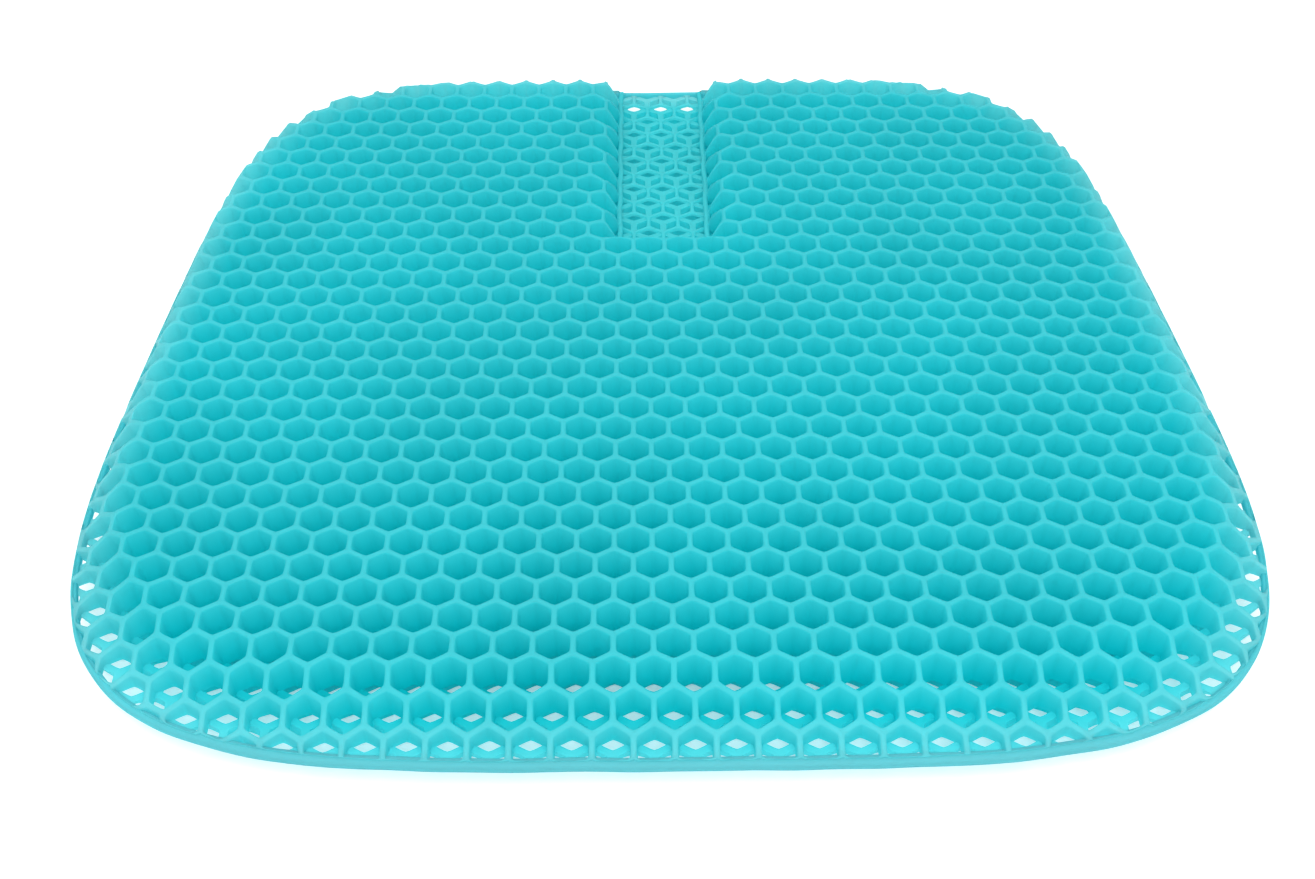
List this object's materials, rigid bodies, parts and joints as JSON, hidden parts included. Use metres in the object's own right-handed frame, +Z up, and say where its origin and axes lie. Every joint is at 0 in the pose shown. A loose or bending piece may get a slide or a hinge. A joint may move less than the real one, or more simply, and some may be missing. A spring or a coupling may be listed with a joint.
{
  "type": "gel seat cushion",
  "caption": "Double-layer honeycomb gel seat cushion with a narrow perimeter rim and a tailbone relief slot at the back.",
  "frame": {"origin": "centre of the underside, on the surface that the cushion rests on", "axes": "+X to the sitter's right, +Y from the front edge to the back edge with the slot, +Z up"},
  "size_m": [0.4538, 0.425, 0.028],
  "materials": {
    "gel_cells": "soft translucent turquoise elastomer, satin moulded skin",
    "gel_rim": "soft translucent turquoise elastomer, paler where it is thin"
  },
  "bodies": {
    "root": {"upper_cells_front": "gel_cells", "upper_cells_left": "gel_cells", "upper_cells_right": "gel_cells", "lower_cells": "gel_cells", "perimeter_rim": "gel_rim", "slot_floor_web": "gel_cells", "slot_rib_left": "gel_rim", "slot_rib_right": "gel_rim"}
  },
  "joints": []
}
